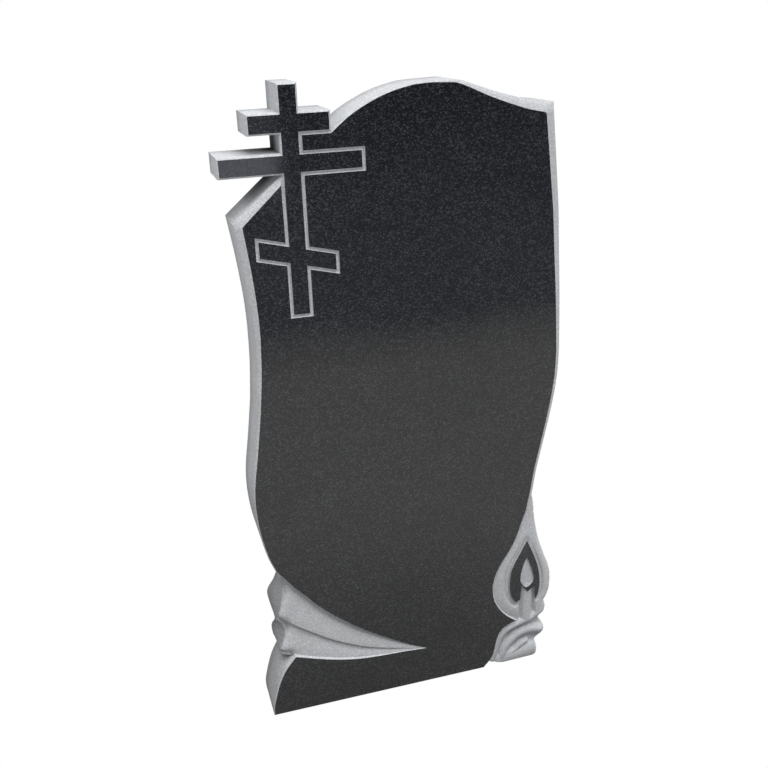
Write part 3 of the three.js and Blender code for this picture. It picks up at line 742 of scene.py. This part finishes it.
def make_crystal_group():
    """Interlocked mineral grains: light laths scattered in a dark ground, in slow clouds."""
    tree, given, result = new_group(
        "crystals",
        [("Vector", "NodeSocketVector"), ("Scale", "NodeSocketFloat"), ("Share", "NodeSocketFloat"),
         ("Dark", "NodeSocketColor"), ("Light", "NodeSocketColor"), ("Cloud", "NodeSocketFloat")],
        [("Color", "NodeSocketColor"), ("Light Grains", "NodeSocketFloat"),
         ("Height", "NodeSocketFloat")],
    )
    bend = node(tree, "ShaderNodeTexNoise", values={"Scale": FINE_GRAIN / 2, "Detail": 1.0})
    bent = node(tree, "ShaderNodeMix", data_type="VECTOR", values={"Factor": GRAIN_BEND})
    laths = node(tree, "ShaderNodeMapping", vector_type="POINT")
    laths.inputs["Rotation"].default_value = LATH_TURN
    laths.inputs["Scale"].default_value = LATH_STRETCH
    cells = node(tree, "ShaderNodeTexVoronoi", feature="F1")
    split = node(tree, "ShaderNodeSeparateColor")
    threshold = node(tree, "ShaderNodeMath", operation="SUBTRACT")
    threshold.inputs[0].default_value = 1.0
    soft = node(tree, "ShaderNodeMath", operation="ADD")
    soft.inputs[1].default_value = GRAIN_SOFTNESS
    mask = node(tree, "ShaderNodeMapRange")
    shade = node(tree, "ShaderNodeMath", operation="MULTIPLY_ADD")
    shade.inputs[1].default_value = 1 - GRAIN_LEAST
    shade.inputs[2].default_value = GRAIN_LEAST
    grains = node(tree, "ShaderNodeMath", operation="MULTIPLY")
    colour = node(tree, "ShaderNodeMix", data_type="RGBA")
    clouds = node(tree, "ShaderNodeTexNoise", values={"Scale": CLOUDS, "Detail": 5.0})
    spread = node(tree, "ShaderNodeMath", operation="MULTIPLY_ADD")
    spread.inputs[1].default_value = 2.0
    spread.inputs[2].default_value = -1.0
    drift = node(tree, "ShaderNodeMath", operation="MULTIPLY")
    gain = node(tree, "ShaderNodeMath", operation="ADD")
    gain.inputs[1].default_value = 1.0
    clouded = node(tree, "ShaderNodeVectorMath", operation="SCALE")
    link(
        tree,
        (given.outputs["Vector"], bend.inputs["Vector"]),
        (given.outputs["Vector"], bent.inputs["A"]),
        (bend.outputs["Color"], bent.inputs["B"]),
        (bent.outputs["Result"], laths.inputs["Vector"]),
        (laths.outputs["Vector"], cells.inputs["Vector"]),
        (given.outputs["Scale"], cells.inputs["Scale"]),
        (cells.outputs["Color"], split.inputs["Color"]),
        (given.outputs["Share"], threshold.inputs[1]),
        (threshold.outputs[0], soft.inputs[0]),
        (split.outputs["Red"], mask.inputs["Value"]),
        (threshold.outputs[0], mask.inputs["From Min"]),
        (soft.outputs[0], mask.inputs["From Max"]),
        (split.outputs["Green"], shade.inputs[0]),
        (mask.outputs["Result"], grains.inputs[0]),
        (shade.outputs[0], grains.inputs[1]),
        (grains.outputs[0], colour.inputs["Factor"]),
        (given.outputs["Dark"], colour.inputs["A"]),
        (given.outputs["Light"], colour.inputs["B"]),
        (given.outputs["Vector"], clouds.inputs["Vector"]),
        (clouds.outputs["Fac"], spread.inputs[0]),
        (spread.outputs[0], drift.inputs[0]),
        (given.outputs["Cloud"], drift.inputs[1]),
        (drift.outputs[0], gain.inputs[0]),
        (colour.outputs["Result"], clouded.inputs[0]),
        (gain.outputs[0], clouded.inputs["Scale"]),
        (clouded.outputs["Vector"], result.inputs["Color"]),
        (grains.outputs[0], result.inputs["Light Grains"]),
        (cells.outputs["Distance"], result.inputs["Height"]),
    )
    return tree


def stone_material(name, crystals, values, roughness, grain_roughness, bump, bump_depth):
    """A finish of the stone. Its light grains may be rougher than its ground."""
    material = bpy.data.materials.new(name)
    material.use_nodes = True
    tree = material.node_tree
    shader = tree.nodes["Principled BSDF"]
    shader.inputs["IOR"].default_value = STONE_IOR
    place = node(tree, "ShaderNodeTexCoord")
    grain = node(tree, "ShaderNodeGroup", node_tree=crystals, values=values)
    gloss = node(tree, "ShaderNodeMapRange")
    gloss.inputs["To Min"].default_value = roughness
    gloss.inputs["To Max"].default_value = grain_roughness
    relief = node(tree, "ShaderNodeBump", values={"Strength": bump, "Distance": bump_depth})
    link(
        tree,
        (place.outputs["Object"], grain.inputs["Vector"]),
        (grain.outputs["Color"], shader.inputs["Base Color"]),
        (grain.outputs["Light Grains"], gloss.inputs["Value"]),
        (gloss.outputs["Result"], shader.inputs["Roughness"]),
        (grain.outputs["Height"], relief.inputs["Height"]),
        (relief.outputs["Normal"], shader.inputs["Normal"]),
    )
    return material


def make_polished(crystals):
    """Near black and almost a mirror, with fine light speckle."""
    values = {
        "Scale": FINE_GRAIN, "Share": 0.45, "Dark": (*POLISHED_DARK, 1),
        "Light": (*POLISHED_LIGHT, 1), "Cloud": 0.35,
    }
    return stone_material(
        "polished_gabbro", crystals, values,
        roughness=0.09, grain_roughness=0.16, bump=0.02, bump_depth=0.0001,
    )


def spot_shade(tree, position, spot, core, reach):
    """A node that is low within a core round a line through the stone, and 1 past its reach."""
    flat = node(tree, "ShaderNodeVectorMath", operation="MULTIPLY")
    flat.inputs[1].default_value = (1, 0, 1)
    away = node(tree, "ShaderNodeVectorMath", operation="DISTANCE")
    away.inputs[1].default_value = (spot[0], 0, spot[1])
    shade = node(tree, "ShaderNodeMapRange", interpolation_type="SMOOTHSTEP")
    shade.inputs["From Min"].default_value = core
    shade.inputs["From Max"].default_value = reach
    shade.inputs["To Min"].default_value = PAINTED_SHADE_DARKEST
    link(
        tree,
        (position, flat.inputs[0]),
        (flat.outputs["Vector"], away.inputs[0]),
        (away.outputs["Value"], shade.inputs["Value"]),
    )
    return shade.outputs["Result"]


def make_frosted(crystals):
    """Light where the tool frosted the stone, with painted shade in the rear of the cross's notches
    and towards the back.
    """
    values = {
        "Scale": FINE_GRAIN, "Share": 0.6, "Dark": (*FROSTED_DARK, 1),
        "Light": (*FROSTED_LIGHT, 1), "Cloud": 0.12,
    }
    material = stone_material(
        "frosted_gabbro", crystals, values,
        roughness=0.82, grain_roughness=0.92, bump=0.4, bump_depth=0.0006,
    )
    tree = material.node_tree
    shader = tree.nodes["Principled BSDF"]
    place = next(n for n in tree.nodes if n.bl_idname == "ShaderNodeTexCoord").outputs["Object"]
    colour = shader.inputs["Base Color"].links[0].from_socket
    # Painted shade in the notch between the upper and middle arms and on the slope under the middle
    # arm; the front arris is left unshaded.
    notch = spot_shade(tree, place, NOTCH, NOTCH_SHADE_CORE, NOTCH_SHADE_REACH)
    under_arm_shade = spot_shade(tree, place, slope_top, SLOPE_SHADE_CORE, SLOPE_SHADE_REACH)
    both = node(tree, "ShaderNodeMath", operation="MULTIPLY")
    split = node(tree, "ShaderNodeSeparateXYZ")
    behind = node(tree, "ShaderNodeMapRange")
    behind.inputs["From Min"].default_value = PAINTED_SHADE_FROM
    behind.inputs["From Max"].default_value = PAINTED_SHADE_FULL
    kept = node(tree, "ShaderNodeMix", data_type="FLOAT")
    kept.inputs["A"].default_value = 1
    # Painted shade: the frosted colour darkens smoothly towards the back of the stone.
    backward = node(tree, "ShaderNodeMapRange", interpolation_type="SMOOTHSTEP")
    backward.inputs["From Min"].default_value = 0
    backward.inputs["From Max"].default_value = BACK
    backward.inputs["To Min"].default_value = 1
    backward.inputs["To Max"].default_value = BACKWARD_PAINTED_SHADE
    total = node(tree, "ShaderNodeMath", operation="MULTIPLY")
    shaded = node(tree, "ShaderNodeVectorMath", operation="SCALE")
    link(
        tree,
        (notch, both.inputs[0]),
        (under_arm_shade, both.inputs[1]),
        (place, split.inputs["Vector"]),
        (split.outputs["Y"], behind.inputs["Value"]),
        (behind.outputs["Result"], kept.inputs["Factor"]),
        (both.outputs[0], kept.inputs["B"]),
        (split.outputs["Y"], backward.inputs["Value"]),
        (kept.outputs["Result"], total.inputs[0]),
        (backward.outputs["Result"], total.inputs[1]),
        (colour, shaded.inputs[0]),
        (total.outputs[0], shaded.inputs["Scale"]),
        (shaded.outputs["Vector"], shader.inputs["Base Color"]),
    )
    return material


def make_sawn(crystals):
    """The back, left from the saw: shallow arcs of the blade across the grain."""
    values = {
        "Scale": COARSE_GRAIN, "Share": 0.4, "Dark": (*SAWN_DARK, 1),
        "Light": (*SAWN_LIGHT, 1), "Cloud": 0.2,
    }
    material = stone_material(
        "sawn_gabbro", crystals, values,
        roughness=0.6, grain_roughness=0.75, bump=0.35, bump_depth=0.0005,
    )
    tree = material.node_tree
    place = next(n for n in tree.nodes if n.bl_idname == "ShaderNodeTexCoord")
    relief = next(n for n in tree.nodes if n.bl_idname == "ShaderNodeBump")
    centre = node(tree, "ShaderNodeMapping")
    centre.inputs["Location"].default_value = (SAW_ARC_RADIUS, 0, -HEIGHT / 2)
    arcs = node(
        tree, "ShaderNodeTexWave", wave_type="RINGS", rings_direction="Y",
        values={"Scale": SAW_MARKS, "Distortion": 1.2, "Detail": 2.0, "Detail Scale": 3.0},
    )
    marks = node(tree, "ShaderNodeBump", values={"Strength": 0.4, "Distance": SAW_MARK_DEPTH})
    link(
        tree,
        (place.outputs["Object"], centre.inputs["Vector"]),
        (centre.outputs["Vector"], arcs.inputs["Vector"]),
        (arcs.outputs["Fac"], marks.inputs["Height"]),
        (marks.outputs["Normal"], relief.inputs["Normal"]),
    )
    return material


stone = make_stone()
stone.name = "carved_stele"
stone.data.name = "carved_stele"
crystals = make_crystal_group()
for finish in (make_polished(crystals), make_frosted(crystals), make_sawn(crystals)):
    stone.data.materials.append(finish)
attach(stone, "root")
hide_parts("stele")

# The camera stands to the left of the stone and a little above it.
CAMERA_X = -0.391
CAMERA_DISTANCE = 1.252
CAMERA_HEIGHT = 1.0737
CAMERA_YAW = math.radians(15.8)
CAMERA_PITCH = math.radians(21.45)
CAMERA_ROLL = math.radians(-2.2)
SENSOR = 36
FOCAL_LENGTH = 43.68


def make_camera():
    data = bpy.data.cameras.new("camera")
    data.sensor_width = SENSOR
    data.lens = FOCAL_LENGTH
    camera = bpy.data.objects.new("camera", data)
    bpy.context.scene.collection.objects.link(camera)
    sin_yaw, cos_yaw = math.sin(CAMERA_YAW), math.cos(CAMERA_YAW)
    sin_pitch, cos_pitch = math.sin(CAMERA_PITCH), math.cos(CAMERA_PITCH)
    forward = Vector((sin_yaw * cos_pitch, cos_yaw * cos_pitch, -sin_pitch))
    right = Vector((cos_yaw, -sin_yaw, 0))
    down = forward.cross(right)
    sin_roll, cos_roll = math.sin(CAMERA_ROLL), math.cos(CAMERA_ROLL)
    tilted_right = right * cos_roll - down * sin_roll
    tilted_down = right * sin_roll + down * cos_roll
    camera.matrix_world = Matrix.LocRotScale(
        Vector((CAMERA_X, FRONT - CAMERA_DISTANCE, CAMERA_HEIGHT)),
        Matrix((tilted_right, -tilted_down, -forward)).transposed(),
        None,
    )
    bpy.context.scene.camera = camera


# The studio: a white floor and sky, a broad soft light from above, a small lamp at the upper left,
# and a low black flag that keeps light from the foot of the left side. In front stands a dark
# screen with a pale panel at its left, seen in reflections alone. The camera sees the floor as
# plain white. The floor throws less light back than it shows, and painted shade makes its
# reflection and the light it throws back darker close to the stone.
FLOOR_RADIUS = 60
FLOOR_NEAR = 0.15
FLOOR_FAR = 0.7
FLOOR_REFLECTED = (0.4, 0.66)
FLOOR_BOUNCE = (0.08, 0.42)
SKY_STRENGTH = 0.32
SUN_STRENGTH = 3.6
SUN_SPREAD = math.radians(50)
SUN_FROM = Vector((0.12, -0.33, 1.0))
SIDE_LIGHT_PLACE = Vector((-1.15, -0.25, 1.7))
SIDE_LIGHT_AIM = Vector((-0.2, 0, 0.85))
SIDE_LIGHT_SIZE = 0.5
SIDE_LIGHT_POWER = 5.2
FLAG_X = -0.5
FLAG_DEPTH = 0.5
FLAG_HEIGHT = 0.34
FLAG_COLOUR = (0.02, 0.02, 0.02)
SCREEN_DISTANCE = 1.6
SCREEN_WIDTH = 14
SCREEN_HEIGHT = 5
SCREEN_FOOT = (0.75, 0.75, 0.75)
SCREEN_MIDDLE = (0.28, 0.31, 0.38)
SCREEN_TOP = (0.02, 0.05, 0.11)
SCREEN_FADE = 0.1
SCREEN_DARK_FROM = 0.35
SCREEN_DARK_TO = 0.9
PANEL_COLOUR = (0.8, 0.85, 1.0)
PANEL_STRENGTH = 2
PANEL_RIGHT = 0.108
PANEL_BOTTOM = 0.592
PANEL_TOP = 0.73
PANEL_SOFT = 0.02
PANEL_ABOVE = 0.2


def staged(bm, name, finish):
    """A thing of the studio, and the node tree of its material."""
    thing = finished(bm)
    thing.name = name
    material = bpy.data.materials.new(finish)
    material.use_nodes = True
    thing.data.materials.append(material)
    return thing, material.node_tree


def upright_card(size, axis, place):
    """A flat card, stood up by a quarter turn."""
    bm = bmesh.new()
    bmesh.ops.create_grid(bm, x_segments=1, y_segments=1, size=0.5)
    bmesh.ops.scale(bm, vec=(*size, 1), verts=bm.verts)
    bmesh.ops.rotate(bm, matrix=Matrix.Rotation(math.pi / 2, 3, axis), verts=bm.verts)
    bmesh.ops.translate(bm, vec=place, verts=bm.verts)
    return bm


def make_floor():
    bm = bmesh.new()
    bmesh.ops.create_circle(bm, cap_ends=True, segments=96, radius=FLOOR_RADIUS)
    _, tree = staged(bm, "floor", "pale_floor")
    shader = tree.nodes["Principled BSDF"]
    shader.inputs["Roughness"].default_value = 0.9
    place = node(tree, "ShaderNodeTexCoord")
    away = node(tree, "ShaderNodeVectorMath", operation="LENGTH")
    # Painted shade: the floor is darker close to the stone in what it reflects and throws back.
    far = node(tree, "ShaderNodeMapRange", interpolation_type="SMOOTHSTEP")
    far.inputs["From Min"].default_value = FLOOR_NEAR
    far.inputs["From Max"].default_value = FLOOR_FAR
    reflected = node(tree, "ShaderNodeMix", data_type="FLOAT")
    bounced = node(tree, "ShaderNodeMix", data_type="FLOAT")
    for shade, (near_shade, far_shade) in ((reflected, FLOOR_REFLECTED), (bounced, FLOOR_BOUNCE)):
        shade.inputs["A"].default_value = near_shade
        shade.inputs["B"].default_value = far_shade
    path = node(tree, "ShaderNodeLightPath")
    thrown = node(tree, "ShaderNodeMix", data_type="FLOAT")
    white = node(tree, "ShaderNodeEmission")
    seen = node(tree, "ShaderNodeMixShader")
    link(
        tree,
        (place.outputs["Object"], away.inputs[0]),
        (away.outputs["Value"], far.inputs["Value"]),
        (far.outputs["Result"], reflected.inputs["Factor"]),
        (far.outputs["Result"], bounced.inputs["Factor"]),
        (path.outputs["Is Diffuse Ray"], thrown.inputs["Factor"]),
        (reflected.outputs["Result"], thrown.inputs["A"]),
        (bounced.outputs["Result"], thrown.inputs["B"]),
        (thrown.outputs["Result"], shader.inputs["Base Color"]),
        (path.outputs["Is Camera Ray"], seen.inputs[0]),
        (shader.outputs["BSDF"], seen.inputs[1]),
        (white.outputs["Emission"], seen.inputs[2]),
        (seen.outputs["Shader"], tree.nodes["Material Output"].inputs["Surface"]),
    )


def make_screen():
    """Seen by reflections alone, so its material only glows."""
    place = (0, FRONT - SCREEN_DISTANCE, SCREEN_HEIGHT / 2 + CLEARANCE)
    card = upright_card((SCREEN_WIDTH, SCREEN_HEIGHT), "X", place)
    screen, tree = staged(card, "dark_screen", "dark_screen")
    for kind in ("camera", "diffuse", "transmission", "volume_scatter", "shadow"):
        setattr(screen, f"visible_{kind}", False)
    tree.nodes.remove(tree.nodes["Principled BSDF"])
    output = tree.nodes["Material Output"]
    place = node(tree, "ShaderNodeTexCoord")
    split = node(tree, "ShaderNodeSeparateXYZ")
    edge = node(tree, "ShaderNodeTexNoise", values={"Scale": 2.2, "Detail": 3.0})
    uneven = node(tree, "ShaderNodeMath", operation="MULTIPLY_ADD")
    uneven.inputs[1].default_value = -SCREEN_FADE
    fade = node(tree, "ShaderNodeMapRange", interpolation_type="SMOOTHSTEP")
    fade.inputs["From Max"].default_value = SCREEN_FADE
    above = node(tree, "ShaderNodeMapRange")
    above.inputs["From Min"].default_value = SCREEN_DARK_FROM
    above.inputs["From Max"].default_value = SCREEN_DARK_TO
    dark = node(tree, "ShaderNodeMix", data_type="RGBA")
    dark.inputs["A"].default_value = (*SCREEN_MIDDLE, 1)
    dark.inputs["B"].default_value = (*SCREEN_TOP, 1)
    colour = node(tree, "ShaderNodeMix", data_type="RGBA")
    colour.inputs["A"].default_value = (*SCREEN_FOOT, 1)
    beside = node(tree, "ShaderNodeMapRange", interpolation_type="SMOOTHSTEP")
    beside.inputs["From Min"].default_value = PANEL_RIGHT + PANEL_SOFT / 2
    beside.inputs["From Max"].default_value = PANEL_RIGHT - PANEL_SOFT / 2
    over = node(tree, "ShaderNodeMapRange", interpolation_type="SMOOTHSTEP")
    over.inputs["From Min"].default_value = PANEL_BOTTOM - PANEL_SOFT
    over.inputs["From Max"].default_value = PANEL_BOTTOM + PANEL_SOFT
    under = node(tree, "ShaderNodeMapRange", interpolation_type="SMOOTHSTEP")
    under.inputs["From Min"].default_value = PANEL_TOP - PANEL_SOFT
    under.inputs["From Max"].default_value = PANEL_TOP + PANEL_SOFT
    under.inputs["To Min"].default_value = 1
    under.inputs["To Max"].default_value = PANEL_ABOVE
    corner = node(tree, "ShaderNodeMath", operation="MULTIPLY")
    share = node(tree, "ShaderNodeMath", operation="MULTIPLY")
    panel_glow = node(tree, "ShaderNodeEmission", values={"Strength": PANEL_STRENGTH})
    panel_glow.inputs["Color"].default_value = (*PANEL_COLOUR, 1)
    shown = node(tree, "ShaderNodeMixShader")
    glow = node(tree, "ShaderNodeEmission")
    link(
        tree,
        (place.outputs["Object"], split.inputs["Vector"]),
        (place.outputs["Object"], edge.inputs["Vector"]),
        (edge.outputs["Fac"], uneven.inputs[0]),
        (split.outputs["Z"], uneven.inputs[2]),
        (uneven.outputs[0], fade.inputs["Value"]),
        (split.outputs["Z"], above.inputs["Value"]),
        (above.outputs["Result"], dark.inputs["Factor"]),
        (dark.outputs["Result"], colour.inputs["B"]),
        (fade.outputs["Result"], colour.inputs["Factor"]),
        (colour.outputs["Result"], glow.inputs["Color"]),
        (split.outputs["X"], beside.inputs["Value"]),
        (split.outputs["Z"], over.inputs["Value"]),
        (split.outputs["Z"], under.inputs["Value"]),
        (beside.outputs["Result"], corner.inputs[0]),
        (over.outputs["Result"], corner.inputs[1]),
        (corner.outputs[0], share.inputs[0]),
        (under.outputs["Result"], share.inputs[1]),
        (share.outputs[0], shown.inputs[0]),
        (glow.outputs["Emission"], shown.inputs[1]),
        (panel_glow.outputs["Emission"], shown.inputs[2]),
        (shown.outputs["Shader"], output.inputs["Surface"]),
    )


def make_flag():
    """A black board beside the foot. The camera and the polished face don't see it."""
    place = (FLAG_X, 0, FLAG_HEIGHT / 2 + CLEARANCE)
    card = upright_card((FLAG_HEIGHT, FLAG_DEPTH), "Y", place)
    flag, tree = staged(card, "low_flag", "black_cloth")
    flag.visible_camera = False
    flag.visible_glossy = False
    shader = tree.nodes["Principled BSDF"]
    shader.inputs["Base Color"].default_value = (*FLAG_COLOUR, 1)
    shader.inputs["Roughness"].default_value = 1.0


def make_lights():
    world = bpy.data.worlds.new("studio")
    bpy.context.scene.world = world
    world.use_nodes = True
    tree = world.node_tree
    sky = tree.nodes["Background"]
    sky.inputs["Color"].default_value = (1, 1, 1, 1)
    path = node(tree, "ShaderNodeLightPath")
    level = node(tree, "ShaderNodeMapRange")
    level.inputs["To Min"].default_value = SKY_STRENGTH
    link(
        tree,
        (path.outputs["Is Camera Ray"], level.inputs["Value"]),
        (level.outputs["Result"], sky.inputs["Strength"]),
    )
    data = bpy.data.lights.new("sun", "SUN")
    data.energy = SUN_STRENGTH
    data.angle = SUN_SPREAD
    sun = bpy.data.objects.new("sun", data)
    bpy.context.scene.collection.objects.link(sun)
    sun.rotation_euler = (-SUN_FROM).to_track_quat("-Z", "Y").to_euler()
    data = bpy.data.lights.new("side_light", "AREA")
    data.energy = SIDE_LIGHT_POWER
    data.size = SIDE_LIGHT_SIZE
    side_light = bpy.data.objects.new("side_light", data)
    bpy.context.scene.collection.objects.link(side_light)
    side_light.location = SIDE_LIGHT_PLACE
    side_light.rotation_euler = (SIDE_LIGHT_AIM - SIDE_LIGHT_PLACE).to_track_quat("-Z", "Y").to_euler()
    side_light.visible_glossy = False
    bpy.context.scene.view_settings.view_transform = "Standard"


make_camera()
make_floor()
make_screen()
make_flag()
make_lights()
